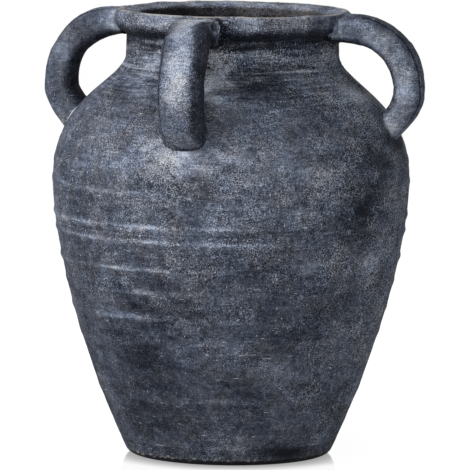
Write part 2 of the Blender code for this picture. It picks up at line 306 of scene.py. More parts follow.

# where the wash was rubbed thick or wiped away, and where light and shade are painted on: degrees, height, half
# angle, half height, amount
washAndPaintedLightPatches = (
    # neck
    # these three are painted light, filling the front handle's cast shadow on the neck beside it
    (-85, 0.277, 5, 0.013, 0.48),
    (-82, 0.264, 8, 0.011, 0.32),
    (-80, 0.28, 8, 0.007, 0.26),
    # painted shade just under the rim, right of the front handle
    (-72, 0.2875, 6, 0.0016, -0.4),
    (-130, 0.285, 13, 0.0049, 0.14),
    (-54, 0.283, 16, 0.0063, 0.09),
    (-40, 0.264, 12, 0.006, 0.08),
    (-56, 0.26, 16, 0.01, -0.08),
    (-117, 0.264, 14, 0.0175, 0.12),
    (-133, 0.258, 8, 0.0063, -0.1),
    (-147, 0.275, 16, 0.007, 0.08),
    (-6, 0.278, 12, 0.007, 0.24),
    # rim beside the handles
    # painted shade in the hollow right of the front handle's root
    (-80, 0.299, 5.5, 0.013, -0.46),
    (-166, 0.302, 5, 0.006, 0.25),
    (-17, 0.302, 5, 0.008, -0.28),
    # shoulder
    (-5, 0.256, 13, 0.009, 0.45),
    (-18, 0.26, 10, 0.0056, 0.1),
    (-79, 0.252, 9, 0.01, 0.1),
    (-37, 0.226, 13, 0.007, 0.15),
    (-126, 0.235, 18, 0.02, -0.06),
    (-128, 0.219, 11, 0.021, 0.12),
    (-19, 0.216, 12, 0.014, -0.18),
    # painted shade of a hollow below the right handle's foot, set near black
    (2, 0.2225, 7, 0.0042, -1.2),
    (7, 0.237, 6, 0.006, 0.35),
    # below the front handle
    (-95, 0.218, 12, 0.0075, 0.26),
    (-92, 0.21, 28, 0.013, 0.2),
    (-98, 0.225, 6, 0.0053, 0.3),
    (-79, 0.228, 4, 0.0063, 0.1),
    (-41, 0.206, 13, 0.009, 0.26),
    # belly
    (-27, 0.182, 11, 0.022, -0.36),
    (-76, 0.178, 26, 0.026, 0.08),
    (-132, 0.172, 22, 0.02, 0.05),
    (-105, 0.162, 5, 0.004, -0.14),
    (-130, 0.19, 20, 0.022, -0.08),
    (-72, 0.165, 14, 0.0049, -0.18),
    # painted shade of a ring's groove
    (-51, 0.168, 20, 0.0021, -0.14),
    (-93, 0.164, 8, 0.0049, 0.08),
    (-22, 0.142, 5, 0.007, 0.34),
    (-51, 0.143, 9, 0.0065, 0.12),
    (-71, 0.145, 15, 0.011, -0.15),
    (-41, 0.186, 9, 0.026, 0.1),
    # lower wall
    (-106, 0.1235, 4.5, 0.0028, 0.24),
    (-110, 0.119, 17, 0.0063, -0.07),
    (-49, 0.118, 20, 0.021, -0.08),
    (-67, 0.121, 8, 0.009, 0.14),
    (-114, 0.105, 10, 0.0042, 0.18),
    (-96, 0.1, 9, 0.0066, -0.12),
    (-112, 0.102, 30, 0.023, -0.09),
    (-76, 0.086, 6, 0.0084, 0.12),
    (-59, 0.074, 5, 0.006, 0.1),
    (-108, 0.073, 12, 0.028, -0.12),
    (-122, 0.05, 26, 0.045, -0.12),
    (-144, 0.049, 10, 0.014, 0.2),
    (-44, 0.06, 14, 0.03, 0.07),
    (-119, 0.032, 13, 0.0126, -0.1),
    (-69, 0.017, 7, 0.0063, 0.08),
    (-24, 0.014, 10, 0.0063, 0.08),
    (-44, 0.0085, 15, 0.006, -0.65),
    # back
    (40, 0.2, 24, 0.015, 0.14),
    (75, 0.15, 14, 0.02, -0.16),
    (110, 0.225, 12, 0.009, 0.28),
    (150, 0.12, 22, 0.016, 0.12),
    (175, 0.07, 14, 0.024, -0.14),
    (120, 0.05, 20, 0.014, 0.1),
)

# wash, painted shade and painted highlight on the thrown wall: how much each thing adds or takes away
wallWashAndShade = dict(
    rings=0.3,
    cloud=0.08,
    brushed=0.05,
    neckBrushed=0.13,
    tooth=0.03,
    pits=0.06,
    lower=0.06,  # darker below the belly
    neck=0.05,
    underRimShade=0.36,  # painted shade under the rim
)

# degrees of the grain's middle, then how much coarser or finer it is in each place
wallGrit = dict(middle=-74.0, flank=0.75, neck=0.3, foot=0.34, scuffed=0.8, worn=0.18)

fingerGrooves = dict(pitch=0.0135, depth=0.00045, waver=0.8, lump=0.0003)


def patchTone(points, angles, z):
    # each patch is a bell in angle times a bell in height, its edge broken by noise
    ragged = np.clip(1.0 + 0.6 * layeredNoise(points, (0.016, 0.016, 0.007), 131, 3), 0.0, 1.8)
    tone = np.zeros_like(z)
    for middle, height, halfAngle, halfHeight, amount in washAndPaintedLightPatches:
        tone += amount * bell(degreesApart(angles, middle), halfAngle) * bell(z - height, halfHeight)
    return tone * ragged


def ringCrests(points, angles, z):
    # each ring is a bell of its half width about a wavering height, broken along its length by slow noise;
    # away counts half widths from the nearest ring, pale is the wash that ring has caught and the painted
    # highlight on its lit side
    relief = np.zeros_like(z)
    away = np.full_like(z, 99.0)
    pale = np.zeros_like(z)
    for k, (height, crest, half, wash, middle, spread) in enumerate(throwing["rings"]):
        waver = throwing["waver"] * unitNoise(points, (0.06, 0.06, 0.5), 31 + k)
        here = (z - height - waver) / half
        broken = 0.55 + 0.6 * unitNoise(points, (0.028, 0.028, 0.5), 61 + k)
        relief += crest * bell(here, 1.0) * np.clip(0.45 + broken, 0.25, 1.2)
        near = 0.15 + 0.85 * bell(degreesApart(angles, middle), spread)
        closer = np.abs(here) < np.abs(away)
        away = np.where(closer, here, away)
        pale = np.where(closer, wash * near * np.clip(broken + 0.1, 0.05, 1.2), pale)
    return relief, away, pale


def gritTone(angles, z, g):
    # 1 + right flank + neck - foot + scuffed spot beside the front handle - worn left flank
    apart = degreesApart(angles, g["middle"])
    flank = smooth(22.0, 60.0, apart) * smooth(150.0, 110.0, apart)
    scuffed = bell(apart + 9.0, 10.0) * bell(z - 0.275, 0.012)
    worn = smooth(-15.0, -45.0, apart) * smooth(-120.0, -90.0, apart) * smooth(0.14, 0.16, z)
    grit = 1.0 + g["flank"] * flank + g["neck"] * smooth(0.262, 0.275, z) - g["foot"] * smooth(0.13, 0.07, z)
    return grit + g["scuffed"] * scuffed - g["worn"] * worn


def wallRelief(angles, z):
    # clay above the plain turned wall: rings + lumps + level drag marks + tooth - pits + an oval of the jar
    t, w = throwing, wallWashAndShade
    points = turnedGrid(outerRadius(z), z, angles)
    rings, away, pale = ringCrests(points, angles, z)
    drag = layeredNoise(points, (0.075, 0.075, 0.0042), 5, 2)
    lumps = layeredNoise(points, 0.034, 11, 3)
    tooth = layeredNoise(points, 0.005, 23, 2)
    pits = smooth(0.5, 0.8, unitNoise(points, 0.006, 41)) + smooth(0.55, 0.85, unitNoise(points, 0.0035, 43))
    oval = np.cos(2.0 * angles + 0.6) + 0.6 * np.cos(3.0 * angles + 2.0)
    relief = rings + t["lump"] * lumps + t["drag"] * drag + t["tooth"] * tooth - t["pit"] * pits
    relief += t["outOfRound"] * oval * smooth(0.0, 0.05, z) * smooth(0.29, 0.24, z)
    cloud = layeredNoise(points, 0.045, 71, 3)
    brushed = w["brushed"] + w["neckBrushed"] * smooth(0.245, 0.275, z)
    brushed *= layeredNoise(points, (0.03, 0.03, 0.004), 77, 3)
    wash = w["rings"] * pale * bell(away, 1.0) + w["cloud"] * cloud + w["tooth"] * tooth
    wash += brushed - w["pits"] * pits
    wash += patchTone(points, angles, z) + w["lower"] * smooth(0.09, 0.16, z) - w["lower"]
    # the last term is painted shade under the rim
    wash += w["neck"] * smooth(0.265, 0.28, z) - w["underRimShade"] * smooth(0.281, 0.292, z)
    grit, brush = gritTone(angles, z, wallGrit), smooth(0.235, 0.268, z)
    return relief, {"wash": wash, "ringAway": away, "ringPaleAndHighlight": pale, "grit": grit, "brush": brush}


def insideRelief(angles, z, f):
    # finger grooves wound round the inside: a sine of height plus one turn per groove, with slow lumps
    points = turnedGrid(innerRadius(z), z, angles)
    wound = np.sin(2.0 * np.pi * z / f["pitch"] + angles + f["waver"] * unitNoise(points, 0.05, 53))
    return f["depth"] * wound + f["lump"] * layeredNoise(points, 0.02, 57, 2)


def wallRing(name, node, outerRows, innerRows, turns):
    # up the outside and down the inside; the lowest section turns in to the floor by a quarter round
    low, high = (corner[2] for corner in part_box(node))
    angles = oneTurn(turns)
    outerZ = np.linspace(low, high, outerRows)[:, None] + 0.0 * angles
    relief, tones = wallRelief(angles, outerZ)
    outer = turnedGrid(outerRadius(outerZ) + relief, outerZ, angles)
    innerZ = np.linspace(high, low, innerRows)[:, None] + 0.0 * angles
    fillet = jar["floorFillet"] if node == "lower_body" else 0.0
    inset = fillet - np.sqrt(np.clip(fillet**2 - np.clip(low + fillet - innerZ, 0.0, fillet) ** 2, 0.0, None))
    inner = turnedGrid(innerRadius(innerZ) + insideRelief(angles, innerZ, fingerGrooves) - inset, innerZ, angles)
    closedRing(name, node, bodyFinish, outer, inner, tones)


# clay finish

washColours = dict(
    stops=(
        (0.0, (0.006, 0.007, 0.012, 1.0)),
        (0.22, (0.027, 0.031, 0.044, 1.0)),
        (0.45, (0.077, 0.086, 0.113, 1.0)),
        (0.7, (0.197, 0.221, 0.283, 1.0)),
        (1.0, (0.525, 0.565, 0.648, 1.0)),
    ),
    tints=((0.36, (1.06, 1.0, 0.93, 1.0)), (0.62, (0.95, 1.0, 1.05, 1.0))),
    tintNoise=(64.0, 3.0),
    rust=(1.15, 0.98, 0.72, 1.0),
    bare=(0.64, 0.59, 0.52, 1.0),
    bareWash=0.45,  # wash that stays on bare clay
    hollow=(0.25, 0.217, 0.195, 1.0),
    roughness=(0.8, 0.95),  # on bare charcoal and on thick wash
    roughFrom=(0.1, 0.8),  # amounts of wash where those two begin
    specular=0.08,
)

# a noise is its scale and detail, then its stretch and turn where it runs one way
washGrain = dict(
    layers=(
        (0.3, (1.0, 3.0, (75.0, 75.0, 620.0))),  # streaks
        (0.28, (1.0, 2.0, (230.0, 230.0, 1150.0), (0.1, -0.14, 0.0))),  # strokes
        (0.5, (260.0, 3.0)),  # dabs
        (0.3, (105.0, 3.0)),  # smears
        (0.36, (38.0, 4.0)),  # clouds
    ),
    grains=((1.7, (1350.0, 2.0)), (1.2, (2500.0, 1.0)), (0.6, (620.0, 2.0))),  # grain, specks, crumbs
    bed=((48.0, 2.0), (2.6, -0.4, 0.55, 1.5)),  # gain, shift, least and most
    brush=(1.1, (1.0, 3.0, (42.0, 42.0, 700.0))),
    ringLine=3.2,
    dash=((1.0, 3.0, (45.0, 45.0, 420.0)), (2.0, -0.2, 0.0, 1.3)),
    scratches=(  # noise, and where it turns into a scratch
        ((1.0, 1.0, (1500.0, 1500.0, 120.0), (0.55, 0.75, 0.0)), 0.71),
        ((1.0, 1.0, (130.0, 130.0, 1700.0), (0.06, 0.05, 0.0)), 0.715),
        ((1.0, 1.0, (1400.0, 1400.0, 140.0), (-0.6, -0.7, 0.0)), 0.72),
    ),
    scratch=7.0,
    fleckScale=62.0,
    fleckDot=(-22.0, 0.9),
    fleckFew=0.55,
    fleck=1.6,
    bumpNoise=(1.2, (420.0, 3.0)),
    bump={"Strength": 0.55, "Distance": 0.0006},
)


def fill(tree, node, sockets):
    # links each socket to the output given, or sets it to the value given
    for socket, value in sockets.items():
        if isinstance(value, bpy.types.NodeSocket):
            tree.links.new(value, node.inputs[socket])
        else:
            node.inputs[socket].default_value = value


def addNode(tree, kind, sockets, **settings):
    # outputs of a new node, its settings made first and its sockets filled after
    node = tree.nodes.new("ShaderNode" + kind)
    for setting, value in settings.items():
        setattr(node, setting, value)
    fill(tree, node, sockets)
    return node.outputs


def mapped(tree, value, given, wanted, kind="LINEAR"):
    # the given range of the value moved to the wanted range and held at its ends
    sockets = dict(zip(("Value", "From Min", "From Max", "To Min", "To Max"), (value, *given, *wanted)))
    return addNode(tree, "MapRange", sockets, interpolation_type=kind)["Result"]


def clayFinish(name, level, coarse):
    # wash amount = tone (wash, with painted light and shade) + layers + grains + brush + ring lines + scratches
    # + flecks + level, sent through a ramp from charcoal to pale wash, then tinted, rusted, worn bare and
    #   darkened inside
    made = bpy.data.materials.new(name)
    made.use_nodes = True
    tree, c, g = made.node_tree, washColours, washGrain
    place = addNode(tree, "TexCoord", {})["Object"]

    def noise(scale, detail, stretch=None, turn=(0.0, 0.0, 0.0)):
        # layered noise of the piece's own coordinates, 0 to 1
        spot = place
        if stretch:
            sockets = {"Vector": place, "Scale": stretch, "Rotation": turn}
            spot = addNode(tree, "Mapping", sockets)["Vector"]
        sockets = {"Vector": spot, "Scale": scale, "Detail": detail, "Roughness": 0.6}
        return addNode(tree, "TexNoise", sockets)["Fac"]

    def maths(kind, *numbers):
        # one calculation, named by kind
        return addNode(tree, "Math", dict(enumerate(numbers)), operation=kind)[0]

    def held(value, gain, shift, low, high):
        # value * gain + shift, kept between low and high
        return maths("MINIMUM", maths("MAXIMUM", maths("MULTIPLY_ADD", value, gain, shift), low), high)

    def tone(attribute):
        # a tone kept on the mesh
        return addNode(tree, "Attribute", {}, attribute_name=attribute)["Fac"]

    def ramp(value, stops):
        # straight from each stop's colour to the next
        colours = addNode(tree, "ValToRGB", {"Fac": value})["Color"]
        marks = colours.node.color_ramp.elements
        while len(marks) < len(stops):
            marks.new(0.5)
        for mark, (at, colour) in zip(marks, stops):
            mark.position = at
            mark.color = colour
        return colours

    def mixed(kind, share, first, second):
        # first, with second blended over it by share
        sockets = {"Factor": share, "A": first, "B": second}
        return addNode(tree, "Mix", sockets, data_type="RGBA", blend_type=kind)["Result"]

    amount = tone("wash")
    for weight, layer in g["layers"]:
        amount = maths("MULTIPLY_ADD", noise(*layer), weight, maths("SUBTRACT", amount, weight / 2))
    bed = maths("MULTIPLY", held(noise(*g["bed"][0]), *g["bed"][1]), tone("grit"))
    grains = [(noise(*grain), weight * coarse) for weight, grain in g["grains"]]
    for grain, weight in grains:
        stands = maths("MULTIPLY", maths("SUBTRACT", grain, 0.5), weight)
        amount = maths("MULTIPLY_ADD", stands, bed, amount)
    weight, strokes = g["brush"]
    strokes = maths("MULTIPLY", maths("SUBTRACT", noise(*strokes), 0.5), weight)
    amount = maths("MULTIPLY_ADD", strokes, tone("brush"), amount)
    # ring lines: pale wash on the crests, with painted highlight on the lit side
    away = tone("ringAway")
    line = maths("EXPONENT", maths("MULTIPLY", maths("MULTIPLY", away, away), -g["ringLine"]))
    line = maths("MULTIPLY", line, held(noise(*g["dash"][0]), *g["dash"][1]))
    amount = maths("MULTIPLY_ADD", line, tone("ringPaleAndHighlight"), amount)
    for scratch, start in g["scratches"]:
        over = maths("MAXIMUM", maths("SUBTRACT", noise(*scratch), start), 0.0)
        amount = maths("MULTIPLY_ADD", over, g["scratch"], amount)
    fleck = addNode(tree, "TexVoronoi", {"Vector": place, "Scale": g["fleckScale"]})
    dot = maths("MAXIMUM", maths("MULTIPLY_ADD", fleck["Distance"], *g["fleckDot"]), 0.0)
    dot = maths("MULTIPLY", dot, maths("GREATER_THAN", fleck["Color"], g["fleckFew"]))
    amount = maths("ADD", maths("MULTIPLY_ADD", dot, g["fleck"], amount), level)

    washed = ramp(amount, c["stops"])
    colour = mixed("MULTIPLY", 1.0, washed, ramp(noise(*c["tintNoise"]), c["tints"]))
    colour = mixed("MULTIPLY", tone("rust"), colour, c["rust"])
    colour = mixed("MIX", tone("bare"), colour, mixed("MULTIPLY", c["bareWash"], c["bare"], washed))
    colour = mixed("MULTIPLY", tone("hollow"), colour, c["hollow"])
    weight, height = g["bumpNoise"]
    height = maths("MULTIPLY_ADD", noise(*height), weight, grains[0][0])
    sockets = {
        "Base Color": colour,
        "Roughness": mapped(tree, amount, c["roughFrom"], c["roughness"]),
        "Specular IOR Level": c["specular"],
        "Normal": addNode(tree, "Bump", {"Height": height, **g["bump"]})["Normal"],
    }
    fill(tree, tree.nodes["Principled BSDF"], sockets)
    return made


# level of the wash, coarseness of its grain
bodyFinish = clayFinish("slateWashedClay", 0.395, 1.0)
rimFinish = clayFinish("slateWashedRim", 0.4, 1.12)
handleFinish = clayFinish("slateWashedStrap", 0.45, 0.62)
footFinish = clayFinish("slateWashedFoot", 0.37, 0.9)
slipFinish = clayFinish("paleSlip", 0.44, 0.8)

wallSections = {
    # name: node, rows outside, rows inside, points round
    "lowerWall": ("lower_body", 116, 40, 600),
    "upperWall": ("upper_body", 100, 44, 600),
    "neckCollar": ("neck", 18, 14, 480),
}
for name, section in wallSections.items():
    wallRing(name, *section)
print("thrown wall made")

# slip squeezed between the thrown sections

seamJoints = {
    # where: how far it is wiped back, how pale it dried
    "foot": (0.0002, 0.02),
    "belly": (0.00022, 0.04),
    "neck": (0.00055, 0.1),
    "rim": (0.0003, -0.1),
}
seamSlip = dict(overlap=0.0004, depth=0.0085, rows=4, turns=600)


def seamRing(where, wiped, pale, s):
    # band of slip that fills the joint, wiped back from the wall by a depth that comes and goes
    node = "slip_seam_" + where
    lowest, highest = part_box(node)
    angles = oneTurn(s["turns"])
    z = np.linspace(lowest[2] - s["overlap"], highest[2] + s["overlap"], s["rows"])[:, None] + 0.0 * angles
    relief, tones = wallRelief(angles, z)
    tones["wash"] += pale
    points = turnedGrid(outerRadius(z), z, angles)
    back = wiped * np.clip(0.5 + 0.9 * unitNoise(points, (0.03, 0.03, 1.0), 83), 0.02, 1.0)
    outer = turnedGrid(outerRadius(z) + relief - back, z, angles)
    inner = turnedGrid(highest[0] - s["depth"] + 0.0 * z, z[::-1], angles)
    closedRing(where + "Seam", node, slipFinish, outer, inner, tones)


for where, joint in seamJoints.items():
    seamRing(where, *joint, seamSlip)
print("slip seams made")

# rolled rim

rimRoll = dict(
    topFall=0.0014, hollowRound=0.004, turn=75.0, lipRound=0.0035, mouthRound=0.003, lump=0.00042,
    tooth=0.00012, pit=0.0003, oval=0.0005,
    torn=0.0016,  # clay torn away beside the front handle
    tornSpot=(-80.0, 0.2985, 4.5, 0.008),  # degrees, height, half angle, half height
    # underRollShade is painted shade under the roll of the rim
    wash=0.15, mottle=0.14, pitTone=-0.06, topTone=0.02, underRollShade=-0.62, tornShade=-0.35,
    mouthLight=(0.37, 50.0, -0.1),  # painted light inside the mouth: swing round the inside, degrees of its palest side, all round
    bare=0.85,  # lip worn down to the clay
    seatFrom=0.297,  # height from which the handles sit on the rim
    neckTo=0.2949,
    rows=84,
    turns=560,
)


def rimProfile(r):
    # up from the neck by a hollow round, over the roll, up the side, over the lip and down the mouth
    j = jar
    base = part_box("rim_band")[0][2]
    rimFoot = j["bellyHeight"] + j["shoulderRise"] + j["neckRise"]
    roll = j["rimOverhang"] / (1.0 - math.cos(math.radians(r["turn"]))) - r["hollowRound"]
    middle = (j["neckRadius"] + r["hollowRound"], rimFoot)
    hollow = roundTo(middle, r["hollowRound"], 180.0, 180.0 - r["turn"], 20)
    hollow = hollow[hollow[:, 1] > base]
    hollow = np.concatenate(([(np.interp(base, hollow[:2, 1], hollow[:2, 0]), base)], hollow))
    rollZ = hollow[-1, 1] + roll * math.sin(math.radians(r["turn"]))
    side = roundTo((rimRadius - roll, rollZ), roll, -r["turn"], 0.0, 24)
    lip = roundTo((rimRadius - r["lipRound"], j["height"] - r["lipRound"]), r["lipRound"], 0.0, 90.0, 14)
    mouthRadius = j["neckRadius"] - j["wall"]
    mouthTop = j["height"] - r["topFall"] - r["mouthRound"]
    mouth = roundTo((mouthRadius + r["mouthRound"], mouthTop), r["mouthRound"], 90.0, 180.0, 12)
    return np.concatenate((hollow, side[1:], lip, mouth, [(mouthRadius, base)]))


def rimBand(r):
    # the rim's profile turned about the middle line and moved along its normals by its marks - the torn spot,
    # with an oval of the whole rim
    line = evenly(rimProfile(r), r["rows"])
    angles = oneTurn(r["turns"])
    along = headings(line)
    outR, outZ = along[:, 1][:, None], -along[:, 0][:, None]
    radius, height = (line[:, k][:, None] + 0.0 * angles for k in (0, 1))
    points = turnedGrid(radius, height, angles)
    marks, pits = handMarks(points, 0.022, (101, 103, 107), r)
    fade = smooth(0.0, 0.004, height - line[0, 1])
    middle, spot, halfAngle, halfHeight = r["tornSpot"]
    torn = bell(degreesApart(angles, middle), halfAngle) * bell(height - spot, halfHeight) * (radius > 0.072)
    tear = np.clip(0.7 + 1.1 * layeredNoise(points, 0.0045, 119, 2), 0.0, 1.8)
    relief = (marks - r["torn"] * torn * tear) * fade
    oval = r["oval"] * np.cos(2.0 * angles + 1.1) * fade
    grid = turnedGrid(radius + outR * relief + oval, height + outZ * relief, angles)
    inside = smooth(0.0668, 0.065, radius) * smooth(0.3085, 0.3055, height)
    wash = r["wash"] + r["mottle"] * layeredNoise(points, 0.014, 109, 3) + r["pitTone"] * pits
    # the last term is painted shade under the roll
    wash += r["topTone"] * smooth(0.3075, 0.3086, height) + r["underRollShade"] * smooth(0.303, 0.2955, height)
    # tornShade is painted shade in the torn hollow beside the front handle's root
    wash += patchTone(points, angles, height) + r["tornShade"] * torn
    # painted light inside the mouth, palest where the light falls in
    swing, palest, allRound = r["mouthLight"]
    wash += inside * (swing * np.cos(angles - math.radians(palest)) + allRound)
    worn = np.clip(0.75 + 0.8 * layeredNoise(points, 0.01, 113, 3), 0.0, 1.0)
    bare = r["bare"] * smooth(0.309, 0.3096, height) * smooth(0.075, 0.0768, radius) * worn
    tones = {"wash": wash, "hollow": inside, "bare": bare, "grit": 1.0 + 2.0 * torn}
    faces = wrapFaces(r["rows"], r["turns"], True).tolist()
    clayPiece("rimRoll", grid, faces, tones, rimFinish, "rim_band")


rimBand(rimRoll)
print("rim rolled")

# base slab with the worn heel

baseSlab = dict(
    turns=480,
    sideRows=18,
    faceRows=26,
    dish=0.0006,
    dishEdge=(0.056, 0.04),  # radius where the dish begins and where it is full
    sideFrom=0.064,  # radius past which the slab is the jar's outside
    floorTo=0.07,  # radius up to which its top is the jar's floor
    # painted contact shade: the heel darkened towards the floor
    contactShade=1.6,
    contactShadeEdge=(0.004, 0.0022),  # height where the painted contact shade begins and where it is full
    rustEdge=(0.008, 0.001),
    chips=0.8,  # bare clay in a broken line above the painted contact shade
)


def baseDisc(b):
    # out under the slab to the resting ring, up the heel's side and in over the floor, with a pole in each face
    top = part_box("base")[1][2]
    side = evenly(np.concatenate((heelLine, [(outerRadius(top), top)])), b["sideRows"])
    inwards = np.linspace(side[-1, 0], 0.0, b["faceRows"])[1:-1]
    floor = np.stack((inwards, np.full_like(inwards, top)), axis=1)
    rest = np.linspace(0.0, side[0, 0], b["faceRows"])[1:-1]
    under = np.stack((rest, b["dish"] * smooth(*b["dishEdge"], rest)), axis=1)
    line = np.concatenate((under, side, floor))
    angles = oneTurn(b["turns"])
    radius, height = (line[:, k][:, None] + 0.0 * angles for k in (0, 1))
    points = turnedGrid(radius, height, angles)
    relief, tones = wallRelief(angles, np.clip(height, 0.008, None))
    outside = radius > b["sideFrom"]
    onSide = smooth(0.0, 0.012, height) * outside
    grid = turnedGrid(radius + relief * onSide, height, angles)
    poles = np.array([(0.0, 0.0, b["dish"]), (0.0, 0.0, top)])
    ragged = np.clip(1.0 + 0.6 * layeredNoise(points, 0.012, 151, 2), 0.2, 1.6)
    # painted contact shade at the heel, broken by noise
    contactShade = b["contactShade"] * smooth(*b["contactShadeEdge"], height) * ragged
    rust = smooth(*b["rustEdge"], height) * np.clip(ragged - 0.4, 0.0, 1.0)
    chips = smooth(0.0024, 0.0034, height) * smooth(0.006, 0.0044, height)
    chips = chips * smooth(0.35, 0.75, unitNoise(points, (0.0019, 0.0019, 0.0013), 157)) * outside
    hollow = 1.0 * (height > top - 0.0001) * (radius < b["floorTo"])
    tones = {  # the last two are the poles
        "wash": np.append(tones["wash"] * onSide - contactShade, (0.0, 0.0)),
        "hollow": np.append(hollow, (0.0, 1.0)),
        "rust": np.append(rust, (1.0, 0.0)),
        "bare": np.append(b["chips"] * chips, (0.0, 0.0)),
    }
    points = np.concatenate((grid.reshape(-1, 3), poles))
    faces = cappedFaces(*grid.shape[:2], False)
    clayPiece("baseSlab", points, faces, tones, footFinish, "base")


baseDisc(baseSlab)
print("base made")

# strap handles

strap = dict(
    fullDepth=0.014,  # how far the bends run on inside the jar, and what is kept
    rootDepth=0.0065, topRise=0.001, rootDrop=0.0006, overhang=0.0015, reachRise=0.0604,
    footRise=0.0385, footLean=47.0, rootFullness=0.73, shoulderPull=0.615, gripPull=0.57,
    footPull=0.215, upperSize=(0.0285, 0.0207), gripSize=(0.028, 0.0212), lowerSize=(0.027, 0.0218),
    crevice=0.0008, creviceHalf=0.0014, rootShare=0.42, footShare=0.3, rows=130, around=88,
    groove=0.0006,
    grooveHalf=4.0,  # degrees round the strap
    lump=0.00055, tooth=0.00012, pit=0.0003,
    rubbed=0.75,  # wash rubbed into the outer face; where along it, half width, change
    rubbedAt=((0.41, 0.08, -0.24), (0.58, 0.1, 0.15)),
    # creviceShade is painted shade in the crevice where the strap meets the jar
    # underRootShade is painted shade under the strap's root, below the rim
    rubbedFoot=-0.83, underRootShade=-0.6, grooveTone=-0.42, pitTone=-0.06, creviceShade=-0.45, mottle=0.1,
    raggedShading=300.0,  # painted highlight on the lumps and painted shade between them, for each metre that a lump stands out
    # what the hand did
    wide=1.0,
    shift=0.0,  # sideways, all along
    lean=0.0,  # sideways, at the root only
    slim=0.0,  # narrower root
    twist=0.0,  # degrees
    squareness=3.0,
    rootSquare=0.0,  # added at the root
    scores=(1.0, 1.0),  # scored line along the right and left corners
    scoreAt=(63.0, 117.0),  # degrees round the strap
    flare=0.0,  # root spread to the right
    webs=(0.003, 0.003),  # clay drawn out along the rim, left and right of the root
    paleAt=0.0,  # middle of the rubbed part, -1 left to 1 right
    inner=-0.24,  # wash on the inner face (below 0 it is painted shade where it faces the jar), the outer face, the left and right sides
    outer=0.0,
    sides=(0.1, 0.1),
    dark=0.0,  # painted shade on the right side, turned from the light
    ragged=0.0,  # lumps left on the right of the root
    grit=1.0,
    crevices=(0.2, 0.8),  # depth of the joint at the root and at the foot
    slipTone=(0.0, 0.0),  # how pale the slip dried at the root and at the foot
    slipHeavy=0.0,  # slip left thick on the right of the root
    slipSide=0.0,  # 1 leaves the foot's slip on the right side only
    beads=(0.0006, 0.0007),  # radius of the slip at the root and at the foot
    rootTone=0.0,  # wash rubbed thick there
    footTone=0.0,
)

# each handle as it came from the hand; every value not given is taken from strap
straps = {
    "right": dict(
        turn=0.0, seed=3, overhang=0.0028, reachRise=0.0613, topRise=0.0014, rootDrop=0.0003,
        webs=(0.009, 0.004), upperSize=(0.0285, 0.0215), gripSize=(0.028, 0.0213),
        lowerSize=(0.027, 0.0196), shoulderPull=0.638, gripPull=0.59, footPull=0.2, footLean=52.0,
        footRise=0.0395, squareness=2.5, outer=-0.08, sides=(0.2, 0.2), crevices=(0.0, 0.9),
        slipTone=(0.25, 0.0), beads=(0.0015, 0.0007), rootTone=0.26, footTone=0.2,
    ),
    "back": dict(
        turn=90.0, seed=5, slim=0.04, lean=0.001, twist=4.0, squareness=2.7, outer=0.1, sides=(0.05, 0.05),
        slipTone=(0.0, 0.1), slipHeavy=0.5,
    ),
    "left": dict(
        turn=180.0, seed=7, overhang=0.0005, reachRise=0.0595, topRise=0.0017, rootDrop=0.0,
        webs=(0.004, 0.009), upperSize=(0.0285, 0.02), gripSize=(0.028, 0.0217), lowerSize=(0.027, 0.0253),
        shoulderPull=0.59, gripPull=0.558, footPull=0.23, footLean=43.0, footRise=0.0395, squareness=2.6,
        inner=-0.34, outer=0.02, sides=(0.0, 0.0), grit=0.6, crevices=(0.0, 0.1), slipTone=(0.08, 0.8),
        slipSide=1.0, beads=(0.0004, 0.0014), rootTone=0.2, footTone=0.08,
    ),
    "front": dict(
        turn=270.0, seed=9, topRise=0.0002, wide=1.11, shift=-0.0016, lean=-0.0035, slim=0.05, twist=13.0,
        squareness=3.5, rootSquare=2.0, scores=(0.0, 0.8), scoreAt=(63.0, 131.0), flare=0.0034,
        # dark is painted shade on this strap's right side, turned from the light
        webs=(0.0, 0.0), paleAt=0.14, outer=0.42, sides=(-0.1, -0.12), dark=0.22, ragged=0.002, grit=1.35,
        crevices=(1.1, 1.2), slipTone=(-0.4, -0.4), slipHeavy=4.5, beads=(0.0006, 0.001), rootTone=0.13,
    ),
}


def rootSink(h, share):
    # half of what the strap loses on top at its root, so that it ends below the lip
    return (h["topRise"] + h["rootDrop"]) / 2 * smooth(0.17, 0.03, share)


def strapLine(h):
    # two cubics of radius and height: out of the rim to the widest reach, then down and in to the shoulder;
    # both ends are cut back to the depth that is kept
    j = jar
    reach = j["bellyRadius"] + h["overhang"]
    reachZ = j["bellyHeight"] + h["reachRise"]
    root = np.array((rimRadius - h["fullDepth"], j["height"] + h["topRise"] - h["upperSize"][1] / 2))
    over = cubic(
        root,
        (root[0] + h["rootFullness"] * (reach - root[0]), root[1]),
        (reach, reachZ + h["shoulderPull"] * (root[1] - reachZ)),
        (reach, reachZ),
        90,
    )
    landZ = j["bellyHeight"] + h["footRise"]
    slope = math.radians(h["footLean"])
    lean = np.array((math.cos(slope), math.sin(slope)))
    foot = np.array((outerRadius(landZ), landZ)) - h["fullDepth"] * lean
    span = np.linalg.norm(np.array((reach, reachZ)) - foot)
    down = cubic(
        (reach, reachZ),
        (reach, reachZ - h["gripPull"] * (reachZ - landZ)),
        foot + h["footPull"] * span * lean,
        foot,
        90,
    )
    line = evenly(np.concatenate((over, down[1:])), 400)
    buried = h["fullDepth"] - h["rootDepth"]
    runs = np.linspace(0.0, np.linalg.norm(np.diff(line, axis=0), axis=1).sum(), len(line))
    line = evenly(line[(runs >= buried) & (runs <= runs[-1] - buried)], h["rows"])
    line[:, 1] -= rootSink(h, np.linspace(0.0, 1.0, len(line)))
    return line


def passage(start, end, share):
    # from start to end along 3t^2 - 2t^3
    return start + (end - start) * smooth(0.0, 1.0, share)


